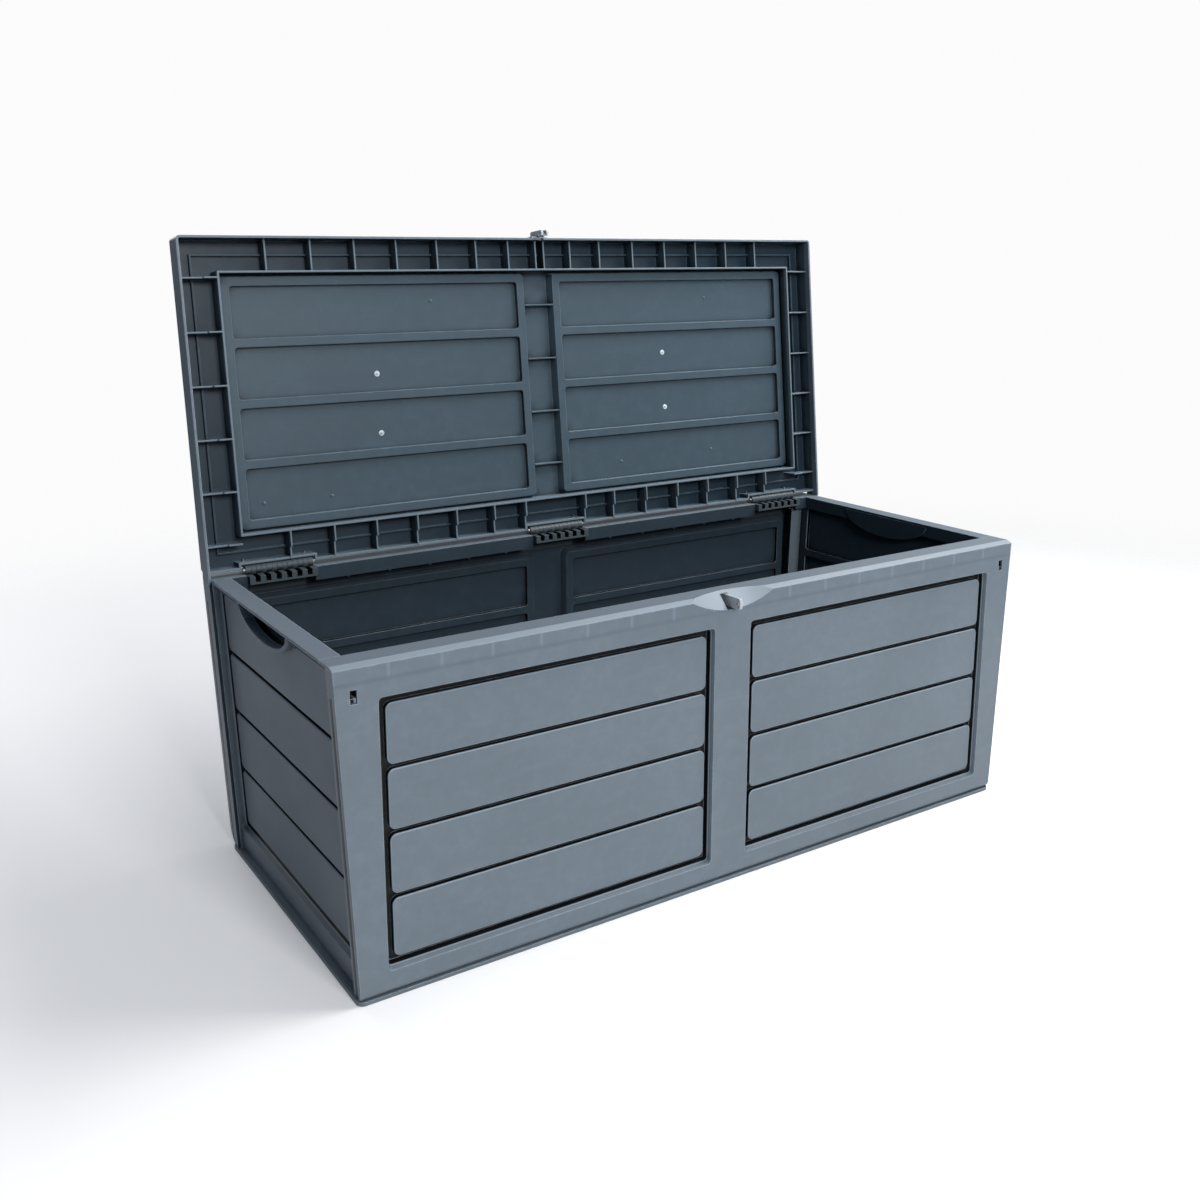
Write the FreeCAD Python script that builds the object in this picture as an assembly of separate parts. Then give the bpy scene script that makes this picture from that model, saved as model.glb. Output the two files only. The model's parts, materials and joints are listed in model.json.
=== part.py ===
"""Deck storage box: a flat-pack garden box of moulded polypropylene with a hinged lid.

Four ribbed wall panels stand on a floor tray, and the lid turns on three comb hinges along the
rear rim. The lid is drawn open, leaning back on its stop, as the box stands while it is loaded.

Millimetres. +X runs along the box, +Y to the back, +Z up. The origin is the centre of the
footprint, on the ground.
"""
import FreeCAD, Part
import math
import os

# ---------------------------------------------------------------- overall sizes
BOX_LENGTH = 1190.0          # rim, end to end
BOX_DEPTH = 520.0            # rim, front to back
RIM_HEIGHT = 440.0           # top of the rim above the ground
END_TAPER = 18.0             # each end leans in by this much from rim to ground
WALL = 3.5                   # skin thickness of every moulded panel

# ---------------------------------------------------------------- plank relief
GROOVE_DEPTH = 14.0          # from the frame face to the bottom of the grooves
PLANK_STEP = 6.0             # from the frame face to the plank faces
GROOVE_WIDTH = 6.0           # between two planks
END_SIDE_GROOVE = 12.0       # beside the planks of an end panel, wider to show past the posts
END_TOP_GROOVE = 17.0        # above the planks of an end panel, up into the rim
RECESS_BEVEL = 5.0           # sloped border of a plank field
RECESS_BEVEL_LOW = 7.0       # the same along a wall field's lower border
RECESS_RADIUS = 6.0          # corners of a plank field, at the frame face
RECESS_FLOOR_RADIUS = 3.0    # the same at the bottom of the grooves
PLANK_RADIUS = 9.0           # corners of a plank
PLANK_EDGE = 1.8             # rounding of a plank's front edges
PLANKS_PER_FIELD = 4

STILE_HALF = 32.0            # half the plain strip between two fields, at the frame face
POST_WIDTH = 56.0            # plain strip outside a field on the front and back
LONG_FIELD_BOTTOM = 36.0     # plank fields of the front and back, above the ground
LONG_FIELD_TOP = RIM_HEIGHT - 46.0
END_FIELD_BOTTOM = 39.0
END_FIELD_TOP = RIM_HEIGHT + 2.0    # the end fields run up past the underside of the rim
END_FIELD_MARGIN = 2.0       # plain strip between an end field and the panel's edge

# ---------------------------------------------------------------- rim
RIM_PLATE = 4.0
FRONT_RIM = 42.0             # width of the front rim
REAR_RIM = 50.0
END_RIM = 28.0
RIM_LIP_DEPTH = 22.0         # lip turned down along the inside of the rim
RIM_CHAMFER_WIDTH = 10.0
RIM_CHAMFER_DROP = 4.0
RIM_RIB_PITCH = 70.0
RIM_RIB = 2.5
RIM_RIB_DEPTH = 24.0

# ---------------------------------------------------------------- corners
FRONT_RETURN = 21.0          # the front panel wraps this far round the corner
BACK_RETURN = 32.0
END_INSET = 8.0              # end panel faces sit this far inside the rim edge
SEAM = 1.0                   # gap between neighbouring panels
RIM_SEAM = 0.3               # gap between the end flanges and the long rims
EDGE_FLANGE = 42.0           # inward flange up each edge of an end panel
BASE_CORNER_FRONT = 10.0     # rounding of the panels' bottom corners
BASE_CORNER_BACK = 26.0

SLOT_WIDTH = 9.0             # snap slots near the top corners
SLOT_HEIGHT = 17.0
SLOT_FROM_END = 25.0         # centre of a slot from the end of the rim
SLOT_Z = RIM_HEIGHT - 39.0
TONGUE_PLAY = 0.6            # beside a tongue in its slot
FRONT_TONGUE_HEIGHT = 6.0    # a front tongue fills only the bottom of its slot
TONGUE_SUNK = 1.5            # a tongue's end sits this far inside the wall's face

# ---------------------------------------------------------------- floor tray
LEDGE = 3.0                  # the tray's edge shows this far outside the end walls' feet
LEDGE_THICK = 5.0
FLOOR_Z = 16.0               # top of the floor plate
FLOOR_PLATE = 3.5
FLOOR_RIB = 3.0
FLOOR_RIBS_ACROSS = 7
FLOOR_RIBS_ALONG = 3
FLOOR_CLEAR = 2.0            # between the floor plate and the inside of the walls

# ---------------------------------------------------------------- end handle pocket
POCKET_HALF = 96.0           # half the width of the crescent
POCKET_DROP = 34.0           # height of the crescent below the flange
POCKET_DEPTH = 17.0          # how far it goes in behind the end face
POCKET_LIP = 6.0             # width of the raised lip
POCKET_LIP_PROUD = 6.0       # how far the lip stands out of the end face
POCKET_LIP_ROUND = 2.8

# ---------------------------------------------------------------- front scoop
SCOOP_HALF = 93.0            # half the width of the finger scoop at the rim
SCOOP_DROP = 23.0            # how far the scoop dips below the rim
SCOOP_MARGIN = 10.0          # room beside and below the scoop for the skin under it
SCOOP_SLOT_LEFT = -11.0      # opening that the staple comes out of
SCOOP_SLOT_RIGHT = 2.6
SCOOP_SLOT_LOW = RIM_HEIGHT - SCOOP_DROP

# ---------------------------------------------------------------- padlock staple and hasp
STAPLE_HALF = 2.2            # half the thickness of the staple's tongue
STAPLE_REACH = 16.0          # out of the front face
STAPLE_LOW = RIM_HEIGHT - 21.0
STAPLE_HIGH = RIM_HEIGHT - 5.0
PADLOCK_HOLE = 3.25          # radius, for a 6 mm shackle
PADLOCK_OUT = 10.5           # hole centre, out of the front face
PADLOCK_Z = RIM_HEIGHT - 13.5
STAPLE_FOOT_HALF = 14.0
STAPLE_FOOT_LOW = STAPLE_LOW - 6.0
TIP_ROUND = 4.0              # rounding at the tips of the staple and the prongs
STAPLE_FOOT = 3.0
STAPLE_FOOT_BACK = 30.0      # from the front face to the staple's foot
PRONG = 3.6
PRONG_GAP = 1.0              # between a prong, or the notch in the lid, and the staple
NOTCH_ABOVE = 2.0            # from the staple to the top of the notch in the lid's skirt
HASP_HALF = 15.0
HASP_PLATE = 3.0
PRONG_PAST = 1.0             # a prong reaches this far out past the staple

# ---------------------------------------------------------------- lid
LID_OVERHANG = 5.0           # the lid stands this far outside the rim at the front and ends
LID_TOP = RIM_HEIGHT + 30.0  # top of the closed lid
LID_SKIRT_LOW = RIM_HEIGHT - 10.0    # lower edge of the front and end skirts, closed
HASP_LOW = LID_SKIRT_LOW + 6.0
HASP_HIGH = LID_TOP - 10.0
PRONG_HIGH = LID_TOP - 14.0
LID_REST_GAP = 0.6           # between the rim and the ribs that come down on it
LID_REAR_LOW = RIM_HEIGHT + 1.5
LID_EDGE_RADIUS = 5.0
LID_CORNER_RADIUS = 6.0
LID_CHANNEL_FRONT = 50.0     # from the skirt's outer face to the inner wall
LID_CHANNEL_END = 55.0
LID_CHANNEL_REAR = 50.0
LID_WALL_LOW = RIM_HEIGHT - 5.0      # lower edge of the inner wall, closed
LID_INNER_WALL = 3.0
LID_RIB = 2.5
LID_LEDGE_OFFSET = 24.0      # low step in the channel, from the skirt's outer face
LID_LEDGE_HEIGHT = 7.0
LID_FIELD_MARGIN = 6.0       # between the inner wall and a plank field
LID_STILE_HALF = 27.0
LID_RIB_X = (60.0, 120.0, 190.0, 260.0, 330.0, 400.0, 470.0)
LID_RIB_Y = (-206.0, -128.0, -50.0, 28.0, 106.0, 184.0)
HASP_RIB_X = 8.0
RIB_STEP_CLEAR = 3.0         # from the rim's inner edge to where a rib steps down

# ---------------------------------------------------------------- hinges
AXIS_FROM_BACK = 35.0        # hinge axis to the box's rear face
AXIS_Y = BOX_DEPTH / 2 - AXIS_FROM_BACK
AXIS_Z = RIM_HEIGHT + 5.0
OPEN_ANGLE = 96.0
LID_REAR = AXIS_Y - 2.0      # rear face of the lid, closed
LEAF_SEAT = AXIS_Y - 9.0     # back of the niche that each hinge leaf sits in
HINGE_X = {"left": -490.0, "centre": 0.0, "right": 490.0}
KNUCKLE_RADIUS = 7.5
PIN_RADIUS = 3.0
PIN_FIT = 0.05
PIN_HEAD_RADIUS = 5.0
PIN_HEAD_GAP = 0.2           # between a pin's head and the comb
PIN_END = 3.0                # a pin reaches this far past the comb
SLAT = 8.0                   # thickness of a slat and of the gap beside it
SLATS = 7
LEAF_KNUCKLE = 7.0
COMB_FRONT = 200.0
COMB_PLATE = 3.0
COMB_DEPTH = 12.0            # below the top of the rim
COMB_TAIL = 25.0             # plate down the inside of the back panel
LEAF_PLATE = 3.0
LEAF_LOW = RIM_HEIGHT + 14.5
LEAF_HIGH = RIM_HEIGHT + 27.5
ARM_OVERLAP = 1.0            # a knuckle's arm runs this far up inside the leaf's plate
ARM_LOW = AXIS_Z + 3.0       # the arm's back edge, at the niche
ARM_HIGH = LEAF_LOW + 4.0    # the arm's top, on the plate's outer face
SCREW_RADIUS = 2.0
SCREW_HEAD = 4.0
SCREW_HEAD_THICK = 2.5
SCREW_BITE = 3.0             # how far a hinge screw runs past the skin
COMB_SCREW_X = 40.0
LEAF_SCREW_X = 48.0

# ---------------------------------------------------------------- worked out from the above
HALF_LENGTH = BOX_LENGTH / 2
HALF_DEPTH = BOX_DEPTH / 2
SKIN_DEPTH = GROOVE_DEPTH + WALL
TRAY_HALF_DEPTH = HALF_DEPTH - SKIN_DEPTH - WALL - SEAM - FLOOR_CLEAR
LEAN_ANGLE = math.degrees(math.atan2(END_TAPER, RIM_HEIGHT))
BACK_SKIN = HALF_DEPTH - WALL
LID_FRONT = -HALF_DEPTH - LID_OVERHANG
LID_HALF = HALF_LENGTH + LID_OVERHANG
LID_REST_Z = RIM_HEIGHT + LID_REST_GAP
LID_WALL_FRONT = LID_FRONT + LID_CHANNEL_FRONT
LID_WALL_REAR = LID_REAR - LID_CHANNEL_REAR
LID_WALL_END = LID_HALF - LID_CHANNEL_END
COMB_HALF = (2 * SLATS - 1) * SLAT / 2
NICHE_HALF = COMB_HALF + 5.0
WINDOW_REAR = AXIS_Y + KNUCKLE_RADIUS + SEAM
COMB_LOW = RIM_HEIGHT - COMB_DEPTH
COMB_SCREW_Z = COMB_LOW - COMB_TAIL / 2
LEAF_SCREW_Z = (LEAF_LOW + LEAF_HIGH) / 2
STAPLE_FOOT_Y = -HALF_DEPTH + STAPLE_FOOT_BACK
BIG = 2000.0                 # larger than the box, for cutting
PAST = 1.0                   # a cut runs this far past the face it opens
SAME = 0.01                  # two places this close are the same

V = FreeCAD.Vector
X = V(1, 0, 0)
Y = V(0, 1, 0)
Z = V(0, 0, 1)


# ---------------------------------------------------------------- helpers
def block(x0, x1, y0, y1, z0, z1):
    """An upright block between two opposite corners."""
    return Part.makeBox(x1 - x0, y1 - y0, z1 - z0, V(x0, y0, z0))


def rod_x(radius, x0, x1, y, z):
    """A round rod along X."""
    return Part.makeCylinder(radius, x1 - x0, V(x0, y, z), X)


def rod_y(radius, y0, y1, x, z):
    """A round rod along Y."""
    return Part.makeCylinder(radius, y1 - y0, V(x, y0, z), Y)


def fuse_all(shapes):
    """One solid from touching or overlapping ones, with the seams removed."""
    first = shapes[0]
    if len(shapes) == 1:
        return first
    return first.multiFuse(shapes[1:]).removeSplitter()


def place(shape, along, up, out, origin):
    """Moves a shape from panel coordinates (along, up, out) to the box."""
    matrix = FreeCAD.Matrix(
        along.x, up.x, out.x, origin.x,
        along.y, up.y, out.y, origin.y,
        along.z, up.z, out.z, origin.z,
        0, 0, 0, 1)
    moved = shape.copy()
    moved.Placement = FreeCAD.Placement(matrix).multiply(moved.Placement)
    return moved


def lean(shape, side):
    """Leans an upright piece of an end in towards the ground, about the rim's outer edge."""
    leaned = shape.copy()
    leaned.rotate(V(side * HALF_LENGTH, 0, RIM_HEIGHT), Y, side * LEAN_ANGLE)
    return leaned


def open_lid(shape):
    """Turns a piece of the closed lid to its open place."""
    turned = shape.copy()
    turned.rotate(V(0, AXIS_Y, AXIS_Z), X, -OPEN_ANGLE)
    return turned


def rounded_wire(u0, u1, v0, v1, radius, w):
    """A rectangle with round corners, at height w in panel coordinates."""
    corners = [(u1 - radius, v0 + radius, -90), (u1 - radius, v1 - radius, 0),
               (u0 + radius, v1 - radius, 90), (u0 + radius, v0 + radius, 180)]
    arcs = [Part.makeCircle(radius, V(u, v, w), Z, start, start + 90) for u, v, start in corners]
    edges = []
    for index, arc in enumerate(arcs):
        following = arcs[(index + 1) % len(arcs)]
        edges.append(arc)
        edges.append(Part.makeLine(arc.Vertexes[-1].Point, following.Vertexes[0].Point))
    return Part.Wire(edges)


def rounded_block(u0, u1, v0, v1, radius, w0, w1):
    """A block with four round corners, in panel coordinates."""
    face = Part.Face(rounded_wire(u0, u1, v0, v1, radius, w0))
    return face.extrude(V(0, 0, w1 - w0))


def recess_floor(field):
    """The floor of a plank field: the field less its sloped borders."""
    u0, u1, v0, v1, bevel_low = field[:5]
    return u0 + RECESS_BEVEL, u1 - RECESS_BEVEL, v0 + bevel_low, v1 - RECESS_BEVEL


def bevelled_recess(field, grow):
    """A field's recess with its borders sloping in, made larger all round by grow."""
    u0, u1, v0, v1 = field[:4]
    f0, f1, g0, g1 = recess_floor(field)
    mouth = rounded_wire(u0 - grow, u1 + grow, v0 - grow, v1 + grow, RECESS_RADIUS + grow, 0)
    bottom = rounded_wire(f0 - grow, f1 + grow, g0 - grow, g1 + grow,
                          RECESS_FLOOR_RADIUS + grow, -GROOVE_DEPTH)
    return Part.makeLoft([mouth, bottom], True, True)


# ---------------------------------------------------------------- plank relief
def plank_rows(v0, v1, top_groove):
    """Lower and upper edges of the planks that fill a field."""
    pitch = (v1 - v0 - top_groove) / PLANKS_PER_FIELD
    return [(v0 + GROOVE_WIDTH + row * pitch, v0 + (row + 1) * pitch)
            for row in range(PLANKS_PER_FIELD)]


def plank(u0, u1, v0, v1):
    """One plank face, with its front edges rounded."""
    body = rounded_block(u0, u1, v0, v1, PLANK_RADIUS, -SKIN_DEPTH, -PLANK_STEP)
    front = [edge for edge in body.Edges
             if all(abs(vertex.Z + PLANK_STEP) < SAME for vertex in edge.Vertexes)]
    return body.makeFillet(PLANK_EDGE, front)


def plank_hollow(u0, u1, v0, v1):
    """The hollow behind one plank, one wall thickness inside it."""
    return rounded_block(u0 + WALL, u1 - WALL, v0 + WALL, v1 - WALL, PLANK_RADIUS - WALL,
                         -SKIN_DEPTH, -PLANK_STEP - WALL)


def planked_skin(slab, hollow_slab, fields):
    """A moulded skin with plank fields, out of a slab and the slab behind its frame face.

    Panel coordinates: u along the planks, v across them, w out of the face. The frame face is
    at w = 0. Each groove on the outside is a ridge on the inside. A field is its u range, its
    v range, and the widths of its lower bevel, side grooves and top groove.
    """
    outer = slab
    inner = hollow_slab
    for field in fields:
        f0, f1, g0, g1 = recess_floor(field)
        side_groove, top_groove = field[5:]
        rows = plank_rows(g0, g1, top_groove)
        u0 = f0 + side_groove
        u1 = f1 - side_groove
        outer = outer.cut(bevelled_recess(field, 0))
        recess_back = bevelled_recess(field, WALL)
        recess_back.translate(V(0, 0, -WALL))
        inner = inner.cut(recess_back)
        outer = outer.multiFuse([plank(u0, u1, low, high) for low, high in rows])
        inner = inner.multiFuse([plank_hollow(u0, u1, low, high) for low, high in rows])
    return outer.cut(inner)


# ---------------------------------------------------------------- wall panels
def wall_slab(w0, w1, end_inset):
    """A slab the shape of the front panel's outline, set in from each end by end_inset."""
    top = HALF_LENGTH - end_inset
    bottom = top - END_TAPER * (RIM_HEIGHT - LEDGE_THICK) / RIM_HEIGHT
    points = [V(-bottom, LEDGE_THICK, w0), V(bottom, LEDGE_THICK, w0),
              V(top, RIM_HEIGHT, w0), V(-top, RIM_HEIGHT, w0), V(-bottom, LEDGE_THICK, w0)]
    return Part.Face(Part.makePolygon(points)).extrude(V(0, 0, w1 - w0))


def long_wall_skin():
    """The planked skin of the front and back panels, in panel coordinates."""
    slab = wall_slab(-SKIN_DEPTH, 0, 0)
    hollow = wall_slab(-SKIN_DEPTH, -WALL, WALL)
    outside = HALF_LENGTH - POST_WIDTH
    height = (LONG_FIELD_BOTTOM, LONG_FIELD_TOP)
    borders = (RECESS_BEVEL_LOW, GROOVE_WIDTH, GROOVE_WIDTH)
    fields = [(-outside, -STILE_HALF) + height + borders,
              (STILE_HALF, outside) + height + borders]
    return planked_skin(slab, hollow, fields)


def corner_returns(y0, y1):
    """The two narrow side faces where a long wall wraps round the corners."""
    returns = []
    for side in (-1, 1):
        x_out = side * HALF_LENGTH
        x_in = side * (HALF_LENGTH - WALL)
        plate = block(min(x_out, x_in), max(x_out, x_in), y0, y1, -PAST, RIM_HEIGHT)
        returns.append(lean(plate, side))
    return returns


def rim_beam(y_face, side, width):
    """A long wall's rim: a top plate with a lip turned down inside and ribs beneath."""
    y_lip = y_face - side * width
    y_lip_in = y_lip + side * WALL
    half = HALF_LENGTH - END_RIM
    parts = [block(-HALF_LENGTH, HALF_LENGTH, min(y_face, y_lip), max(y_face, y_lip),
                   RIM_HEIGHT - RIM_PLATE, RIM_HEIGHT),
             block(-half, half, min(y_lip, y_lip_in), max(y_lip, y_lip_in),
                   RIM_HEIGHT - RIM_LIP_DEPTH, RIM_HEIGHT)]
    count = int(half // RIM_RIB_PITCH)
    for index in range(-count, count + 1):
        x = (index + 0.5) * RIM_RIB_PITCH
        if abs(x) < half:
            parts.append(block(x - RIM_RIB / 2, x + RIM_RIB / 2, min(y_face, y_lip),
                               max(y_face, y_lip), RIM_HEIGHT - RIM_RIB_DEPTH, RIM_HEIGHT))
    return parts


def rim_chamfer(side):
    """The prism that bevels a long rim's outer edge."""
    y_face = side * HALF_DEPTH
    points = [V(-BIG, y_face - side * RIM_CHAMFER_WIDTH, RIM_HEIGHT),
              V(-BIG, y_face, RIM_HEIGHT - RIM_CHAMFER_DROP),
              V(-BIG, y_face + side * RIM_CHAMFER_DROP, RIM_HEIGHT - RIM_CHAMFER_DROP),
              V(-BIG, y_face + side * RIM_CHAMFER_DROP, RIM_HEIGHT),
              V(-BIG, y_face - side * RIM_CHAMFER_WIDTH, RIM_HEIGHT)]
    return Part.Face(Part.makePolygon(points)).extrude(V(2 * BIG, 0, 0))


def bottom_corner_cut(side, radius):
    """The cut that rounds a long wall's bottom edge, seen from the end."""
    y_past = side * (HALF_DEPTH + PAST)
    y_centre = side * (HALF_DEPTH - radius)
    z_centre = LEDGE_THICK + radius
    corner = block(-BIG, BIG, min(y_past, y_centre), max(y_past, y_centre),
                   LEDGE_THICK - PAST, z_centre)
    return corner.cut(rod_x(radius, -BIG, BIG, y_centre, z_centre))


def curved_foot(side, radius):
    """The curved strip that turns a long wall's face in to the tray's ledge."""
    half = HALF_LENGTH - END_TAPER - WALL / 2
    y_face = side * HALF_DEPTH
    y_centre = side * (HALF_DEPTH - radius)
    y_in = side * max(HALF_DEPTH - radius, TRAY_HALF_DEPTH + SEAM)
    z_centre = LEDGE_THICK + radius
    tube = rod_x(radius, -half, half, y_centre, z_centre)
    tube = tube.cut(rod_x(radius - WALL, -half, half, y_centre, z_centre))
    return tube.common(block(-half, half, min(y_face, y_in), max(y_face, y_in), LEDGE_THICK,
                             z_centre))


def snap_slots(y0, y1):
    """The slots that the end panels' tongues come through."""
    slots = []
    for side in (-1, 1):
        x = side * (HALF_LENGTH - SLOT_FROM_END)
        slots.append(block(x - SLOT_WIDTH / 2, x + SLOT_WIDTH / 2, y0, y1,
                           SLOT_Z - SLOT_HEIGHT / 2, SLOT_Z + SLOT_HEIGHT / 2))
    return slots


def scoop_cylinder(extra):
    """A sloping round bar whose underside is the floor of the finger scoop.

    It runs up and back at 45 degrees, so the scoop dips on the front face and fades out on the
    top of the rim. extra makes it larger, for the skin under the scoop.
    """
    radius = (SCOOP_HALF ** 2 + SCOOP_DROP ** 2) / (2 * SCOOP_DROP)
    slope = V(0, 1, 1).normalize()
    normal = V(0, -1, 1).normalize()
    low_point = V(0, -HALF_DEPTH, RIM_HEIGHT - SCOOP_DROP)
    start = low_point + normal * radius - slope * BIG / 2
    bar = Part.makeCylinder(radius + extra, BIG, start, slope)
    return bar


def scoop_room(grow):
    """The stretch of the front rim that the scoop is made in, larger all round by grow."""
    half = SCOOP_HALF + SCOOP_MARGIN + grow
    return block(-half, half, -HALF_DEPTH - grow, -HALF_DEPTH + FRONT_RIM + grow,
                 RIM_HEIGHT - RIM_RIB_DEPTH - SCOOP_MARGIN - grow, RIM_HEIGHT + grow)


def above_rim():
    """Everything above the rim, which the leaned corner pieces are trimmed to."""
    return block(-BIG, BIG, -BIG, BIG, RIM_HEIGHT, BIG)


def below_ledge():
    """Everything below the top of the tray's ledge, which the walls stand on."""
    return block(-BIG, BIG, -BIG, BIG, -BIG, LEDGE_THICK)


def front_panel():
    """Front wall: two plank fields, rim, finger scoop, snap slots and corner returns."""
    skin = place(long_wall_skin(), X, Z, -Y, V(0, -HALF_DEPTH, 0))
    pieces = [skin]
    pieces += corner_returns(-HALF_DEPTH, -HALF_DEPTH + FRONT_RETURN)
    pieces += rim_beam(-HALF_DEPTH, -1, FRONT_RIM)
    pieces.append(curved_foot(-1, BASE_CORNER_FRONT))
    pieces.append(scoop_room(0).common(scoop_cylinder(WALL)))
    panel = fuse_all(pieces)
    panel = panel.cut(scoop_cylinder(0).common(scoop_room(PAST)))
    cuts = snap_slots(-HALF_DEPTH - PAST, -HALF_DEPTH + SKIN_DEPTH + PAST)
    cuts.append(rim_chamfer(-1))
    cuts.append(bottom_corner_cut(-1, BASE_CORNER_FRONT))
    cuts.append(block(SCOOP_SLOT_LEFT, SCOOP_SLOT_RIGHT, -HALF_DEPTH - PAST, STAPLE_FOOT_Y,
                      SCOOP_SLOT_LOW, RIM_HEIGHT - RIM_PLATE))
    cuts += [above_rim(), below_ledge()]
    for cut in cuts:
        panel = panel.cut(cut)
    return panel


def back_panel():
    """Back wall: the front wall's relief, with windows in the rim for the hinge combs."""
    skin = place(long_wall_skin(), -X, Z, Y, V(0, HALF_DEPTH, 0))
    pieces = [skin]
    pieces += corner_returns(HALF_DEPTH - BACK_RETURN, HALF_DEPTH)
    pieces += rim_beam(HALF_DEPTH, 1, REAR_RIM)
    pieces.append(curved_foot(1, BASE_CORNER_BACK))
    panel = fuse_all(pieces)
    cuts = snap_slots(HALF_DEPTH - SKIN_DEPTH - PAST, HALF_DEPTH + PAST)
    cuts.append(rim_chamfer(1))
    cuts.append(bottom_corner_cut(1, BASE_CORNER_BACK))
    cuts += [above_rim(), below_ledge()]
    for x in HINGE_X.values():
        left = x - COMB_HALF - SEAM
        right = x + COMB_HALF + SEAM
        inner_edge = HALF_DEPTH - REAR_RIM - SEAM
        cuts.append(block(left, right, inner_edge, WINDOW_REAR, COMB_LOW, RIM_HEIGHT + SEAM))
        cuts.append(block(left, right, inner_edge, BACK_SKIN, COMB_LOW - COMB_TAIL - SEAM,
                          RIM_HEIGHT - RIM_PLATE))
        for offset in (-COMB_SCREW_X, COMB_SCREW_X):
            cuts.append(rod_y(SCREW_RADIUS, BACK_SKIN - PAST, BACK_SKIN + SCREW_BITE,
                              x + offset, COMB_SCREW_Z))
    for cut in cuts:
        panel = panel.cut(cut)
    return panel


# ---------------------------------------------------------------- end panels
def crescent(grow, x_a, x_b):
    """The outline of a hand pocket as a half-round bar along X under the flange.

    grow makes it larger than the pocket, for the shell and the lip round it.
    """
    top = RIM_HEIGHT - RIM_PLATE
    x0 = min(x_a, x_b)
    x1 = max(x_a, x_b)
    ellipse = Part.Ellipse(V(0, 0, 0), POCKET_HALF + grow, POCKET_DROP + grow).toShape()
    bar = Part.Face(Part.Wire([ellipse])).extrude(V(0, 0, x1 - x0))
    bar = place(bar, Y, Z, X, V(x0, 0, top))
    return bar.common(block(x0, x1, -BIG, BIG, 0, top))


def hand_pocket(side):
    """The pocket's shell with its raised lip, and the hollow that is cut from them."""
    face = side * (HALF_LENGTH - END_INSET)
    lip_face = face + side * POCKET_LIP_PROUD
    skin_back = face - side * (PLANK_STEP + WALL)
    back = face - side * POCKET_DEPTH
    lip = crescent(POCKET_LIP, lip_face, skin_back)
    front = [edge for edge in lip.Edges
             if edge.Curve.TypeId == "Part::GeomEllipse"
             and abs(edge.CenterOfMass.x - lip_face) < SAME]
    lip = lip.makeFillet(POCKET_LIP_ROUND, front)
    shell = crescent(WALL, face, back - side * WALL)
    hollow = crescent(0, lip_face + side * PAST, back)
    return lip.fuse(shell), hollow


def end_skin(side, y0, y1):
    """An end wall's planked skin with its hand pocket, before it leans in."""
    top = RIM_HEIGHT - RIM_PLATE
    out = X * side
    along = Z.cross(out)
    u0 = min(along.y * y0, along.y * y1)
    u1 = max(along.y * y0, along.y * y1)
    slab = block(u0, u1, 0, top, -SKIN_DEPTH, 0)
    hollow_slab = block(u0 + WALL, u1 - WALL, -PAST, top, -SKIN_DEPTH, -WALL)
    field = (u0 + END_FIELD_MARGIN, u1 - END_FIELD_MARGIN, END_FIELD_BOTTOM, END_FIELD_TOP,
             RECESS_BEVEL_LOW, END_SIDE_GROOVE, END_TOP_GROOVE)
    skin = planked_skin(slab, hollow_slab, [field])
    skin = place(skin, along, Z, out, V(side * (HALF_LENGTH - END_INSET), 0, 0))
    shell, hollow = hand_pocket(side)
    return skin.fuse(shell).cut(hollow)


def edge_flanges(side, y0, y1):
    """The inward flanges up both edges of an end wall."""
    top = RIM_HEIGHT - RIM_PLATE
    outer = side * (HALF_LENGTH - WALL - RIM_SEAM)
    inner = side * (HALF_LENGTH - END_INSET - EDGE_FLANGE)
    low_x = min(outer, inner)
    high_x = max(outer, inner)
    return [block(low_x, high_x, y0, y0 + WALL, 0, top),
            block(low_x, high_x, y1 - WALL, y1, 0, top)]


def end_rim(side):
    """An end wall's rim plate, the lip inside it and a web at each end of the lip."""
    top = RIM_HEIGHT - RIM_PLATE
    low = RIM_HEIGHT - RIM_LIP_DEPTH
    rim_x = side * HALF_LENGTH
    lip_x = side * (HALF_LENGTH - END_RIM)
    lip_in = lip_x + side * WALL
    web_in = side * (HALF_LENGTH - END_INSET - WALL)
    y_front = -HALF_DEPTH + FRONT_RIM + RIM_SEAM
    y_back = HALF_DEPTH - REAR_RIM - RIM_SEAM
    web_low = min(web_in, lip_x)
    web_high = max(web_in, lip_x)
    return [block(min(rim_x, lip_x), max(rim_x, lip_x), y_front, y_back, top, RIM_HEIGHT),
            block(min(lip_x, lip_in), max(lip_x, lip_in), y_front, y_back, low, RIM_HEIGHT),
            block(web_low, web_high, y_front, y_front + RIM_RIB, low, RIM_HEIGHT),
            block(web_low, web_high, y_back - RIM_RIB, y_back, low, RIM_HEIGHT)]


def end_panel(side):
    """An end wall: one plank field, a broad rim flange, a hand pocket and snap tongues."""
    y0 = -HALF_DEPTH + FRONT_RETURN + SEAM
    y1 = HALF_DEPTH - BACK_RETURN - SEAM
    upright = fuse_all([end_skin(side, y0, y1)] + edge_flanges(side, y0, y1))
    leaned = lean(upright, side).cut(block(-BIG, BIG, -BIG, BIG, RIM_HEIGHT - RIM_PLATE, BIG))
    panel = fuse_all([leaned] + end_rim(side) + tongues(side, y0, y1))
    return panel.cut(below_ledge())


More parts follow.
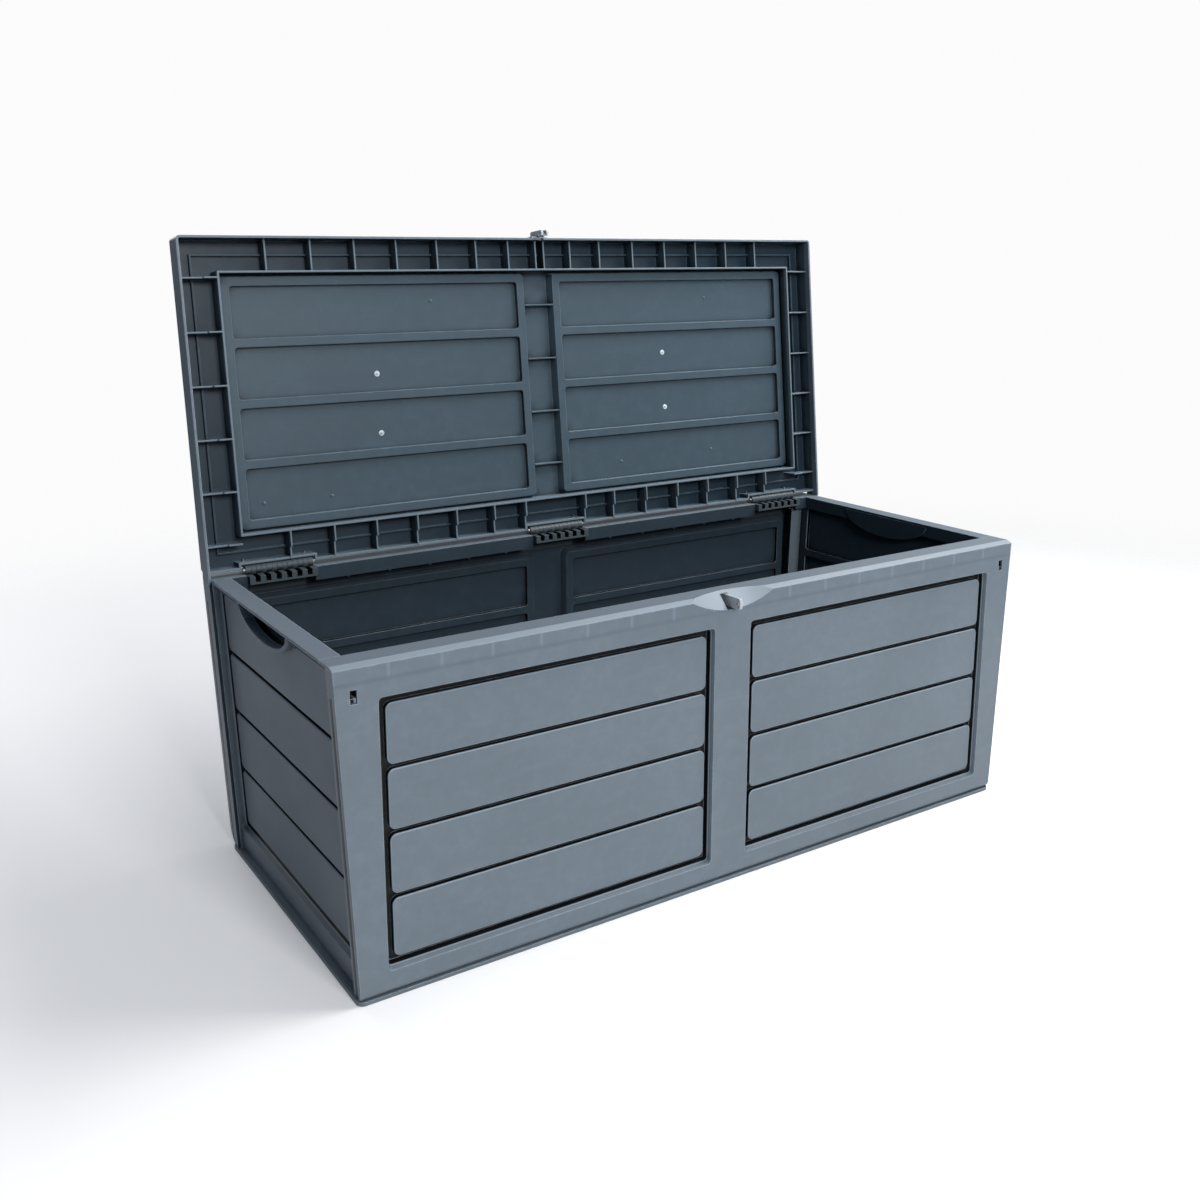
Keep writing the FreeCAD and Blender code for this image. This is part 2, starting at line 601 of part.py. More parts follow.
def tongues(side, y0, y1):
    """The snap tongues that reach into the slots of the front and back panels."""
    x = side * (HALF_LENGTH - SLOT_FROM_END)
    half_x = SLOT_WIDTH / 2 - TONGUE_PLAY
    low = SLOT_Z - SLOT_HEIGHT / 2 + TONGUE_PLAY
    high = SLOT_Z + SLOT_HEIGHT / 2 - TONGUE_PLAY
    reach = HALF_DEPTH - TONGUE_SUNK
    return [block(x - half_x, x + half_x, -reach, y0 + WALL, low, low + FRONT_TONGUE_HEIGHT),
            block(x - half_x, x + half_x, y1 - WALL, reach, low, high)]


# ---------------------------------------------------------------- floor
def tray_ledge():
    """The tray's ledge: a plate with its corners rounded in plan to suit the walls' feet."""
    half_x = HALF_LENGTH - END_TAPER + LEDGE
    ledge = block(-half_x, half_x, -HALF_DEPTH, HALF_DEPTH, 0, LEDGE_THICK)
    for y_edge, radius in ((-HALF_DEPTH, BASE_CORNER_FRONT), (HALF_DEPTH, BASE_CORNER_BACK)):
        upright = [edge for edge in ledge.Edges
                   if all(abs(vertex.Y - y_edge) < SAME for vertex in edge.Vertexes)
                   and abs(edge.Vertexes[0].Z - edge.Vertexes[-1].Z) > SAME]
        ledge = ledge.makeFillet(radius, upright)
    return ledge


def floor_panel():
    """The floor tray: a ribbed plate, with a ledge round it that the walls stand on."""
    inner_x = HALF_LENGTH - END_TAPER - END_INSET - EDGE_FLANGE - FLOOR_CLEAR
    inner_y = TRAY_HALF_DEPTH
    hollow = block(-inner_x + WALL, inner_x - WALL, -inner_y + WALL, inner_y - WALL,
                   -PAST, FLOOR_Z - FLOOR_PLATE)
    tray = block(-inner_x, inner_x, -inner_y, inner_y, 0, FLOOR_Z)
    tray = fuse_all([tray_ledge(), tray]).cut(hollow)
    ribs = []
    for index in range(1, FLOOR_RIBS_ACROSS + 1):
        x = -inner_x + 2 * inner_x * index / (FLOOR_RIBS_ACROSS + 1)
        ribs.append(block(x - FLOOR_RIB / 2, x + FLOOR_RIB / 2, -inner_y, inner_y, 0, FLOOR_Z))
    for index in range(1, FLOOR_RIBS_ALONG + 1):
        y = -inner_y + 2 * inner_y * index / (FLOOR_RIBS_ALONG + 1)
        ribs.append(block(-inner_x, inner_x, y - FLOOR_RIB / 2, y + FLOOR_RIB / 2, 0, FLOOR_Z))
    return fuse_all([tray] + ribs)


# ---------------------------------------------------------------- padlock parts
def round_tips(tongue, y_tip):
    """Rounds the upper and lower corners of a tongue's tip."""
    tips = [edge for edge in tongue.Edges
            if all(abs(vertex.Y - y_tip) < SAME for vertex in edge.Vertexes)
            and abs(edge.Vertexes[0].Z - edge.Vertexes[-1].Z) < SAME]
    return tongue.makeFillet(TIP_ROUND, tips)


def shackle_hole():
    """The hole that the padlock's shackle goes through, with the lid shut."""
    return rod_x(PADLOCK_HOLE, -BIG, BIG, -HALF_DEPTH - PADLOCK_OUT, PADLOCK_Z)


def padlock_staple():
    """The tongue in the finger scoop that a padlock goes through."""
    y_tip = -HALF_DEPTH - STAPLE_REACH
    y_back = STAPLE_FOOT_Y + STAPLE_FOOT
    tongue = block(-STAPLE_HALF, STAPLE_HALF, y_tip, y_back, STAPLE_LOW, STAPLE_HIGH)
    foot = block(-STAPLE_FOOT_HALF, STAPLE_FOOT_HALF, STAPLE_FOOT_Y, y_back,
                 STAPLE_FOOT_LOW, RIM_HEIGHT - RIM_PLATE)
    return fuse_all([round_tips(tongue, y_tip), foot]).cut(shackle_hole())


def lid_hasp():
    """Two prongs on the lid's front edge that come down either side of the staple."""
    y_plate = LID_FRONT - HASP_PLATE
    y_tip = -HALF_DEPTH - STAPLE_REACH - PRONG_PAST
    pieces = [block(-HASP_HALF, HASP_HALF, y_plate, LID_FRONT, HASP_LOW, HASP_HIGH)]
    for side in (-1, 1):
        near = side * (STAPLE_HALF + PRONG_GAP)
        far = near + side * PRONG
        prong = block(min(near, far), max(near, far), y_tip, y_plate, STAPLE_LOW, PRONG_HIGH)
        pieces.append(round_tips(prong, y_tip))
    return fuse_all(pieces).cut(shackle_hole())


# ---------------------------------------------------------------- lid
def lid_shell():
    """The lid's planked top with its skirts, drawn closed."""
    centre_y = (LID_FRONT + LID_REAR) / 2
    outer = rounded_block(-LID_HALF, LID_HALF, LID_FRONT, LID_REAR, LID_CORNER_RADIUS,
                          LID_SKIRT_LOW, LID_TOP)
    top = [edge for edge in outer.Edges
           if all(abs(vertex.Z - LID_TOP) < SAME for vertex in edge.Vertexes)]
    outer = outer.makeFillet(LID_EDGE_RADIUS, top)
    inner = rounded_block(-LID_HALF + WALL, LID_HALF - WALL, LID_FRONT + WALL, LID_REAR - WALL,
                          LID_CORNER_RADIUS - WALL, LID_SKIRT_LOW - PAST, LID_TOP - WALL)
    slab = outer.copy()
    slab.translate(V(0, -centre_y, -LID_TOP))
    hollow = inner.copy()
    hollow.translate(V(0, -centre_y, -LID_TOP))
    inside_x = LID_WALL_END - LID_FIELD_MARGIN
    front_v = LID_WALL_FRONT + LID_FIELD_MARGIN - centre_y
    rear_v = LID_WALL_REAR - LID_FIELD_MARGIN - centre_y
    borders = (RECESS_BEVEL, GROOVE_WIDTH, GROOVE_WIDTH)
    fields = [(-inside_x, -LID_STILE_HALF, front_v, rear_v) + borders,
              (LID_STILE_HALF, inside_x, front_v, rear_v) + borders]
    around = LID_FIELD_MARGIN
    relief_depth = block(-inside_x - around, inside_x + around, front_v - around,
                         rear_v + around, -SKIN_DEPTH, PAST)
    relief = slab.common(relief_depth)
    relief_hollow = hollow.common(relief_depth)
    planked = planked_skin(relief, relief_hollow, fields)
    border = slab.cut(hollow).cut(relief_depth)
    shell = fuse_all([border, planked])
    shell.translate(V(0, centre_y, LID_TOP))
    rear_trim = block(-LID_HALF + WALL, LID_HALF - WALL, LID_REAR - LID_CORNER_RADIUS - PAST,
                      LID_REAR + PAST, LID_SKIRT_LOW - PAST, LID_REAR_LOW)
    notch = block(-STAPLE_HALF - PRONG_GAP, STAPLE_HALF + PRONG_GAP, LID_FRONT - PAST,
                  LID_FRONT + WALL + PAST, LID_SKIRT_LOW - PAST, STAPLE_HIGH + NOTCH_ABOVE)
    return shell.cut(rear_trim).cut(notch)


def skirt_ears():
    """Round ears on the end skirts that close the corners beside the hinge line."""
    radius = AXIS_Z - LID_SKIRT_LOW
    ears = []
    for side in (-1, 1):
        x_out = side * LID_HALF
        x_in = side * (LID_HALF - WALL)
        ears.append(rod_x(radius, min(x_out, x_in), max(x_out, x_in), AXIS_Y, AXIS_Z))
        ears.append(block(min(x_out, x_in), max(x_out, x_in), AXIS_Y - 2 * LID_CORNER_RADIUS,
                          AXIS_Y, LID_SKIRT_LOW, AXIS_Z + radius))
    return ears


def lid_inner_wall():
    """The wall round the inside of the lid's channel."""
    outside = block(-LID_WALL_END, LID_WALL_END, LID_WALL_FRONT, LID_WALL_REAR,
                    LID_WALL_LOW, LID_TOP - WALL)
    inside = block(-LID_WALL_END + LID_INNER_WALL, LID_WALL_END - LID_INNER_WALL,
                   LID_WALL_FRONT + LID_INNER_WALL, LID_WALL_REAR - LID_INNER_WALL,
                   LID_WALL_LOW - PAST, LID_TOP)
    return outside.cut(inside)


def lid_channel_ledge():
    """The low step that runs along the bottom of the channel."""
    x = LID_HALF - LID_LEDGE_OFFSET
    y0 = LID_FRONT + LID_LEDGE_OFFSET
    y1 = LID_REAR - LID_LEDGE_OFFSET
    low = LID_TOP - WALL - LID_LEDGE_HEIGHT
    outside = block(-x, x, y0, y1, low, LID_TOP - WALL / 2)
    inside = block(-x + LID_RIB, x - LID_RIB, y0 + LID_RIB, y1 - LID_RIB, low - PAST,
                   LID_TOP)
    return outside.cut(inside)


def stepped_rib(out_edge, step, in_edge):
    """A channel rib's side view, shallow over the rim and deeper inside it, as (reach, z)."""
    root = LID_TOP - WALL / 2
    return [(out_edge, root), (out_edge, LID_REST_Z), (step, LID_REST_Z),
            (step, LID_WALL_LOW), (in_edge, LID_WALL_LOW), (in_edge, root), (out_edge, root)]


def rib_across_y(x, outline):
    """A rib standing across a front or rear channel."""
    points = [V(x - LID_RIB / 2, reach, z) for reach, z in outline]
    return Part.Face(Part.makePolygon(points)).extrude(V(LID_RIB, 0, 0))


def rib_across_x(y, outline):
    """A rib standing across an end channel."""
    points = [V(reach, y - LID_RIB / 2, z) for reach, z in outline]
    return Part.Face(Part.makePolygon(points)).extrude(V(0, LID_RIB, 0))


def lid_ribs():
    """All the ribs of the lid's channels."""
    front = stepped_rib(LID_FRONT + WALL / 2, -HALF_DEPTH + FRONT_RIM + RIB_STEP_CLEAR,
                        LID_WALL_FRONT + LID_INNER_WALL / 2)
    rear = stepped_rib(LID_REAR - WALL / 2, COMB_FRONT - RIB_STEP_CLEAR,
                       LID_WALL_REAR - LID_INNER_WALL / 2)
    ribs = []
    for side in (-1, 1):
        for x in LID_RIB_X:
            ribs.append(rib_across_y(side * x, front))
            ribs.append(rib_across_y(side * x, rear))
        ribs.append(rib_across_y(side * HASP_RIB_X, front))
        end = stepped_rib(side * (LID_HALF - WALL / 2),
                          side * (HALF_LENGTH - END_RIM - RIB_STEP_CLEAR),
                          side * (LID_WALL_END - LID_INNER_WALL / 2))
        for y in LID_RIB_Y:
            ribs.append(rib_across_x(y, end))
    return ribs


def stile_ribs():
    """Cross ribs in the channel between the lid's two plank fields, one behind each plank."""
    v0 = LID_WALL_FRONT + LID_FIELD_MARGIN + RECESS_BEVEL
    v1 = LID_WALL_REAR - LID_FIELD_MARGIN - RECESS_BEVEL
    ribs = []
    for low, high in plank_rows(v0, v1, GROOVE_WIDTH):
        y = (low + high) / 2
        ribs.append(block(-LID_STILE_HALF, LID_STILE_HALF, y - LID_RIB / 2, y + LID_RIB / 2,
                          LID_TOP - SKIN_DEPTH, LID_TOP - WALL / 2))
    return ribs


def niche_wall(x):
    """The wall round a hinge's niche in the lid's rear face, still solid."""
    half = NICHE_HALF + WALL
    return block(x - half, x + half, LEAF_SEAT - WALL, LID_REAR - WALL / 2, LID_REAR_LOW,
                 LID_TOP - WALL / 2)


def niche_room(x):
    """The space in the lid's rear face that a hinge turns in."""
    return block(x - NICHE_HALF, x + NICHE_HALF, LEAF_SEAT, LID_REAR + PAST, LID_SKIRT_LOW,
                 LEAF_HIGH)


def lid_panel():
    """The whole lid moulding, open."""
    pieces = [lid_shell(), lid_inner_wall(), lid_channel_ledge()]
    niche_walls = [niche_wall(x) for x in HINGE_X.values()]
    lid = fuse_all(pieces + lid_ribs() + stile_ribs() + niche_walls + skirt_ears())
    for x in HINGE_X.values():
        lid = lid.cut(niche_room(x))
        for offset in (-LEAF_SCREW_X, LEAF_SCREW_X):
            lid = lid.cut(rod_y(SCREW_RADIUS, LEAF_SEAT - WALL - SCREW_BITE, LEAF_SEAT + PAST,
                                x + offset, LEAF_SCREW_Z))
    return open_lid(lid)


# ---------------------------------------------------------------- hinges
def slat_positions(count, first):
    """Left faces of a row of slats, one slat and one gap apart."""
    return [first + 2 * SLAT * index for index in range(count)]


def hinge_comb(x):
    """The body half of a hinge: slats across the rear rim, with a knuckle on each."""
    back = BACK_SKIN
    pieces = [block(x - COMB_HALF, x + COMB_HALF, COMB_FRONT, back, COMB_LOW,
                    COMB_LOW + COMB_PLATE),
              block(x - COMB_HALF, x + COMB_HALF, back - COMB_PLATE, back,
                    COMB_LOW - COMB_TAIL, COMB_LOW + COMB_PLATE)]
    for left in slat_positions(SLATS, x - COMB_HALF):
        pieces.append(block(left, left + SLAT, COMB_FRONT, AXIS_Y + KNUCKLE_RADIUS, COMB_LOW,
                            RIM_HEIGHT))
        pieces.append(rod_x(KNUCKLE_RADIUS, left, left + SLAT, AXIS_Y, AXIS_Z))
    comb = fuse_all(pieces)
    comb = comb.cut(rod_x(PIN_RADIUS + PIN_FIT, x - BIG, x + BIG, AXIS_Y, AXIS_Z))
    for offset in (-COMB_SCREW_X, COMB_SCREW_X):
        comb = comb.cut(rod_y(SCREW_RADIUS, back - COMB_PLATE - PAST, back + PAST, x + offset,
                              COMB_SCREW_Z))
    return comb


def hinge_leaf(x):
    """The lid half of a hinge: a plate in the lid's niche, with knuckles in the gaps."""
    pieces = [block(x - COMB_HALF, x + COMB_HALF, LEAF_SEAT, LEAF_SEAT + LEAF_PLATE,
                    LEAF_LOW, LEAF_HIGH)]
    side_gap = (SLAT - LEAF_KNUCKLE) / 2
    for left in slat_positions(SLATS - 1, x - COMB_HALF + SLAT):
        near = left + side_gap
        far = near + LEAF_KNUCKLE
        arm = [V(near, LEAF_SEAT, LEAF_LOW + ARM_OVERLAP), V(near, LEAF_SEAT, ARM_LOW),
               V(near, AXIS_Y, AXIS_Z - PIN_RADIUS), V(near, AXIS_Y + KNUCKLE_RADIUS, AXIS_Z),
               V(near, LEAF_SEAT + LEAF_PLATE, ARM_HIGH),
               V(near, LEAF_SEAT, LEAF_LOW + ARM_OVERLAP)]
        pieces.append(Part.Face(Part.makePolygon(arm)).extrude(V(LEAF_KNUCKLE, 0, 0)))
        pieces.append(rod_x(KNUCKLE_RADIUS, near, far, AXIS_Y, AXIS_Z))
    leaf = fuse_all(pieces)
    leaf = leaf.cut(rod_x(PIN_RADIUS + PIN_FIT, x - BIG, x + BIG, AXIS_Y, AXIS_Z))
    for offset in (-LEAF_SCREW_X, LEAF_SCREW_X):
        leaf = leaf.cut(rod_y(SCREW_RADIUS, LEAF_SEAT - PAST, LEAF_SEAT + LEAF_PLATE + PAST,
                              x + offset, LEAF_SCREW_Z))
    return open_lid(leaf)


def hinge_pin(x):
    """The rod that the lid turns on, with a head at its left end."""
    left = x - COMB_HALF
    rod = rod_x(PIN_RADIUS, left - PAST, x + COMB_HALF + PIN_END, AXIS_Y, AXIS_Z)
    head = rod_x(PIN_HEAD_RADIUS, left - PIN_END, left - PIN_HEAD_GAP, AXIS_Y, AXIS_Z)
    return fuse_all([rod, head])


def screw(x, y_seat, z, length):
    """A pan-head screw along Y: its head seats at y_seat and its shank runs on by length."""
    forward = 1 if length > 0 else -1
    head_end = y_seat - forward * SCREW_HEAD_THICK
    head = rod_y(SCREW_HEAD, min(y_seat, head_end), max(y_seat, head_end), x, z)
    shank = rod_y(SCREW_RADIUS, min(y_seat, y_seat + length), max(y_seat, y_seat + length), x, z)
    return fuse_all([head, shank])


def comb_screws():
    """Six screws that hold the combs to the back panel."""
    seat = BACK_SKIN - COMB_PLATE
    return [screw(x + offset, seat, COMB_SCREW_Z, COMB_PLATE + SCREW_BITE)
            for x in HINGE_X.values() for offset in (-COMB_SCREW_X, COMB_SCREW_X)]


def leaf_screws():
    """Six screws that hold the leaves to the lid."""
    seat = LEAF_SEAT + LEAF_PLATE
    return [open_lid(screw(x + offset, seat, LEAF_SCREW_Z, -(LEAF_PLATE + WALL + SCREW_BITE)))
            for x in HINGE_X.values() for offset in (-LEAF_SCREW_X, LEAF_SCREW_X)]


# ---------------------------------------------------------------- files
def build():
    """Every node's shape, by name."""
    nodes = {
        "front_panel": front_panel(),
        "back_panel": back_panel(),
        "left_end_panel": end_panel(-1),
        "right_end_panel": end_panel(1),
        "floor_panel": floor_panel(),
        "padlock_staple": padlock_staple(),
        "lid_panel": lid_panel(),
        "lid_hasp": open_lid(lid_hasp()),
        "hinge_comb_screws": Part.makeCompound(comb_screws()),
        "hinge_leaf_screws": Part.makeCompound(leaf_screws()),
    }
    for name, x in HINGE_X.items():
        nodes["hinge_comb_" + name] = hinge_comb(x)
        nodes["hinge_leaf_" + name] = hinge_leaf(x)
        nodes["hinge_pin_" + name] = hinge_pin(x)
    return nodes


os.makedirs("parts", exist_ok=True)
for node, shape in build().items():
    box = shape.BoundBox
    print(node, "solids", len(shape.Solids), "valid", shape.isValid(),
          "volume_cm3", round(shape.Volume / 1000, 1),
          [round(value, 1) for value in (box.XMin, box.XMax, box.YMin, box.YMax, box.ZMin,
                                         box.ZMax)])
    shape.exportStep("parts/" + node + ".step")
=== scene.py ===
"""Open deck storage box: finishes, small moulding marks, studio and camera."""
import json
import math

import bmesh
import bpy
from mathutils import Matrix, Vector


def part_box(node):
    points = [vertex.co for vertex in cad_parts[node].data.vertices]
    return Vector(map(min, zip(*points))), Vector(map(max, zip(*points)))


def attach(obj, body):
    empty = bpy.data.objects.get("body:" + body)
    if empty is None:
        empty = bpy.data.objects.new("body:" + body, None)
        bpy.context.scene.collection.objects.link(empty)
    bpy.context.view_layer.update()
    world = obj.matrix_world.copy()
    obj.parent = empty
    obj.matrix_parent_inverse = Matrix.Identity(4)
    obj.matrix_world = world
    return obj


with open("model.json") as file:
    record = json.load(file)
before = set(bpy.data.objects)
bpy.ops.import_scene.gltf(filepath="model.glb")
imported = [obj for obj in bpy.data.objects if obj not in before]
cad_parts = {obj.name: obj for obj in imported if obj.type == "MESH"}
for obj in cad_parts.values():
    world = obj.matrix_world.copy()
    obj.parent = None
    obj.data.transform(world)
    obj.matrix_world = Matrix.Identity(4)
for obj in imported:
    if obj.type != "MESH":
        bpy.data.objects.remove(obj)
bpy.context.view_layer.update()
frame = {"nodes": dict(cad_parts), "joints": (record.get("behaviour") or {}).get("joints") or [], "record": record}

# Finishes, as linear colours
WALL_COLOUR = (0.112, 0.140, 0.165)
# the inside colours are painted shade: the box's inside and the lid's inside are made darker
INSIDE_SHADE_COLOUR = (0.020, 0.032, 0.044)
LID_INSIDE_SHADE_COLOUR = (0.043, 0.068, 0.088)
FLOOR_COLOUR = (0.095, 0.120, 0.140)
HINGE_COLOUR = (0.045, 0.060, 0.070)
FITTING_COLOUR = (0.360, 0.400, 0.430)
STEEL_COLOUR = (0.30, 0.30, 0.31)
PLASTIC_IOR = 1.49
PLASTIC_SPECULAR = 0.28
END_SPECULAR = 0.10           # the ends are seen edge on, and take a weaker sheen

# Tones: what a finish's colour is multiplied by
PLAIN = (1.0, 1.0, 1.0)
MOTTLE_TONE = (1.32, 1.32, 1.32)
CLOUD_TONE = (0.80, 0.80, 0.80)
STREAK_TONE = (1.25, 1.25, 1.25)
# painted shade, in creases
CREASE_SHADE_TONE = (0.03, 0.035, 0.04)
# paler edges: rubbed wear and painted highlight
RUB_AND_HIGHLIGHT_TONE = (3.2, 3.1, 3.0)
STEEL_SPOT = 0.55
# painted shade in the lid's channels, and painted highlight on its crests
LID_CHANNEL_SHADE_TONE = (0.34, 0.42, 0.48)
LID_CREST_HIGHLIGHT_TONE = (2.7, 2.2, 2.0)
LID_LIT_TONE = (3.4, 2.9, 2.7)          # faces of the lid's inside that look up
LID_SHADED_TONE = (0.30, 0.31, 0.32)    # and those that look down
# painted highlight on plank edges, painted shade in grooves, painted highlight on the rim's top and bevel
PLANK_EDGE_HIGHLIGHT_TONE = (2.4, 2.4, 2.4)
GROOVE_SHADE_TONE = (0.005, 0.006, 0.008)
RIM_TOP_HIGHLIGHT_TONE = (1.12, 1.10, 1.10)
RIM_SLOPE_HIGHLIGHT_TONE = (1.65, 1.60, 1.56)
SINK_LINE_TONE = (1.45, 1.45, 1.45)
SINK_BAND_TONE = (0.72, 0.74, 0.76)

# Where a tone begins and where it is full. A facing is the part of a face's normal along an axis
WALL_FACING = (-0.10, -0.03)  # of a wall, times the distance in metres from the middle
GROOVE_FACING = -0.02         # the same for a groove, whose sides count too
TOP_FACING = (0.2, 0.6)       # the lid's top
TILTED = (0.35, 0.80)         # faces of the lid's inside that look up or down
LEVEL = (0.94, 0.98)          # the rim's top
SLOPING = (0.40, 0.60)        # the rim's bevel
OPENNESS = (0.74, 0.38)       # painted crease shade: how much of the surroundings a point still sees
CREASE_REACH = 0.020          # metres
CREASE_LIMIT = 0.98
EDGE_TURN = (0.985, 0.82)     # edges: cosine between the rounded normal and the face's own
RUB_AND_HIGHLIGHT_LIMIT = 0.85
GRAIN_HEIGHT = 0.00012        # metres
WAVE_HEIGHT = 0.0012
DRAWN_HEIGHT = 0.00005

# Moulding marks, in metres: (radius, height) from the outside in
MARK_SIDES = 20
GATE_PROFILE = ((0.0046, -0.0002), (0.0044, 0.0004), (0.0038, 0.0005), (0.0034, 0.0001),
                (0.0026, 0.0001), (0.0021, 0.0013), (0.0012, 0.0019), (0.0004, 0.0020))
EJECTOR_PROFILE = ((0.0030, -0.0002), (0.0028, 0.0005), (0.0024, 0.0007), (0.0006, 0.0006))
GATE_SPOTS = ((0.250, 0.58), (0.250, 0.395), (0.715, 0.60), (0.715, 0.405))   # across, up
EJECTOR_SPOTS = ((0.335, 0.80), (0.085, 0.215), (0.175, 0.215), (0.800, 0.79), (0.800, 0.235),
                 (0.630, 0.225))
MARK_SIGHT_Y = -0.2           # the marks are looked for from here, in front of the open lid

# Sink marks that the rim's hidden ribs leave on the long walls' faces, in metres
RIB_PITCH = 0.070
RIB_HALF = 0.0016
RIB_FOOT = 0.417              # height of the ribs' lower ends
LONG_FACE_Y = 0.2585          # the faces lie beyond this, front and back

# Plank relief of the walls, as distances in metres from the middle of the box
PLANK_Y = 0.2539              # just behind the plank faces of the long walls
PLANK_X = 0.5809              # the same on the end walls, measured at the rim
GROOVE_IN = 0.0019            # the painted shade of a groove begins this far behind that
GROOVE_OUT = 0.0095           # and the groove's floor is behind this
LONG_FIELD_TOP = 0.400        # the grooves of the long walls are below this
END_LEAN = 18.0 / 440.0       # how far the end walls lean in, for each unit down
RIM_TOP = 0.440
RIM_DEPTH = 0.024             # the rim's painted highlights reach this far below its top
END_FIELD_DROP = 0.005        # the grooves of the end walls begin this far below the rim's top
GROOVE_BLUR = 0.0004          # the painted shade of a groove comes in over this distance
# strength of the painted highlight on the plank edges
EDGE_HIGHLIGHT_STRENGTH = 0.55
SINK_STRENGTH = 0.5

# Closed lid: its parts' places in metres
SKIRT_X = 0.5967              # the skirt's outer faces lie beyond these
SKIRT_Y = -0.2617
LID_CREST = 0.4415            # ribs and inner wall end below this
LID_CREST_BLUR = 0.001
LID_CHANNEL_FLOOR = 0.4630    # the channel's floor is above this
LID_CHANNEL_BLUR = 0.012
LID_FIELD_X = 0.545           # the plank fields are inside these
LID_FIELD_Y = (-0.215, 0.173)

# Studio, in metres and watts
AMBIENT = (0.08, 0.37)        # light of the surroundings from the left and from the right
LEFT_AIR = (0.70, 0.92, 1.40)    # colour of that light on the left; it is white on the right
WHITE = (1.0, 1.0, 1.0)
BACKDROP = 0.97
LIGHTS = (                    # name, place, aim, size, power
    ("key_light", (-0.4, -4.0, 2.3), (0.0, 0.0, 0.35), (1.3, 1.2), 138.0),
    ("high_light", (1.5, -0.5, 2.4), (0.0, 0.0, 0.4), (2.0, 1.2), 88.0),
    ("rear_fill", (-0.8, 4.0, 2.2), (0.0, 0.0, 0.4), (2.5, 1.5), 60.0),
)
FLOOR_RADIUS = 6.0
FLOOR_SIDES = 96
FLOOR_DROP = 0.0005           # the floor lies this far below the box's feet
FLOOR_COLOURS = ((0.80, 0.80, 0.80), (0.82, 0.82, 0.82))
FLOOR_ROUGHNESS = 0.8
FLOOR_GLOW = 0.12
FLOOR_FADE = (1.3, 3.0)       # the floor fades into the backdrop between these radii

# Camera
CAMERA_PLACE = (-1.078, -1.557, 0.906)
CAMERA_PITCH = 11.9          # degrees below level
CAMERA_YAW = -33.3
CAMERA_SENSOR = 36.0         # millimetres
CAMERA_LENS = 37.0
CAMERA_SHIFT_Y = -0.071

# Sockets of a colour mix node
MIX_FIRST = 6
MIX_SECOND = 7
MIX_RESULT = 2

nodes = frame["nodes"]


def add(tree, kind, **settings):
    """A shader node of that kind with its settings."""
    node = tree.nodes.new(kind)
    for name, value in settings.items():
        setattr(node, name, value)
    return node


def join(tree, source, target, output=0, socket=0):
    """Links an output of one node to an input of another, by number or name."""
    tree.links.new(source.outputs[output], target.inputs[socket])


def noise(tree, coords, scale, detail, roughness, stretch=None):
    """A noise texture over the object's own coordinates, stretched if asked."""
    texture = add(tree, "ShaderNodeTexNoise")
    texture.inputs["Scale"].default_value = scale
    texture.inputs["Detail"].default_value = detail
    texture.inputs["Roughness"].default_value = roughness
    if stretch:
        mapping = add(tree, "ShaderNodeMapping")
        mapping.inputs["Scale"].default_value = stretch
        join(tree, coords, mapping, "Object", "Vector")
        join(tree, mapping, texture, "Vector", "Vector")
    else:
        join(tree, coords, texture, "Object", "Vector")
    return texture


def ramp(tree, source, low, high, out_low=0.0, out_high=1.0, output=0):
    """Maps a value from low..high to out_low..out_high, clamped and smooth."""
    node = add(tree, "ShaderNodeMapRange", interpolation_type="SMOOTHSTEP")
    node.inputs["From Min"].default_value = low
    node.inputs["From Max"].default_value = high
    node.inputs["To Min"].default_value = out_low
    node.inputs["To Max"].default_value = out_high
    join(tree, source, node, output, "Value")
    return node


def maths(tree, operation, first, second):
    """Two values joined by a maths operation; each is a node, a node's output or a number."""
    node = add(tree, "ShaderNodeMath", operation=operation)
    for index, value in enumerate((first, second)):
        if isinstance(value, (int, float)):
            node.inputs[index].default_value = value
        elif isinstance(value, bpy.types.NodeSocket):
            tree.links.new(value, node.inputs[index])
        else:
            join(tree, value, node, 0, index)
    return node


def set_colour(tree, colour, socket):
    """Gives a colour socket a plain colour, or the result of a colour mix."""
    if isinstance(colour, tuple):
        socket.default_value = (*colour, 1.0)
    else:
        tree.links.new(colour.outputs[MIX_RESULT], socket)


def tint(tree, colour, factor, target):
    """Mixes a colour node or value towards a target colour by a factor node."""
    mix = add(tree, "ShaderNodeMix", data_type="RGBA")
    set_colour(tree, colour, mix.inputs[MIX_FIRST])
    set_colour(tree, target, mix.inputs[MIX_SECOND])
    join(tree, factor, mix)
    return mix


def parts_of(tree, source, output=0):
    """A vector's x, y and z."""
    split = add(tree, "ShaderNodeSeparateXYZ")
    join(tree, source, split, output, 0)
    return split


def wall_mask(tree, coords, axis):
    """1 on a wall's faces that look outward along an axis, 0 on those that look into the box."""
    facing = maths(tree, "MULTIPLY", parts_of(tree, coords, "Normal").outputs[axis],
                   parts_of(tree, coords, "Object").outputs[axis])
    return ramp(tree, facing, *WALL_FACING)


def closed_place(tree, coords):
    """Where a point of the lid is when the lid is shut."""
    hinge = frame["joints"][0]
    closed = add(tree, "ShaderNodeVectorRotate", rotation_type="X_AXIS")
    closed.inputs["Center"].default_value = hinge["pos_m"]
    closed.inputs["Angle"].default_value = math.radians(max(hinge["range_deg"]))
    join(tree, coords, closed, "Object", "Vector")
    return parts_of(tree, closed)


def lid_mask(tree, coords):
    """1 on the lid's top and on the outside of its skirt, 0 on its inside."""
    place = closed_place(tree, coords)
    sideways = maths(tree, "ABSOLUTE", place.outputs["X"], 0.0)
    end = maths(tree, "GREATER_THAN", sideways, SKIRT_X)
    front = maths(tree, "LESS_THAN", place.outputs["Y"], SKIRT_Y)
    top = ramp(tree, parts_of(tree, coords, "Normal"), *TOP_FACING, output="Y")
    return maths(tree, "MAXIMUM", top, maths(tree, "MAXIMUM", end, front))


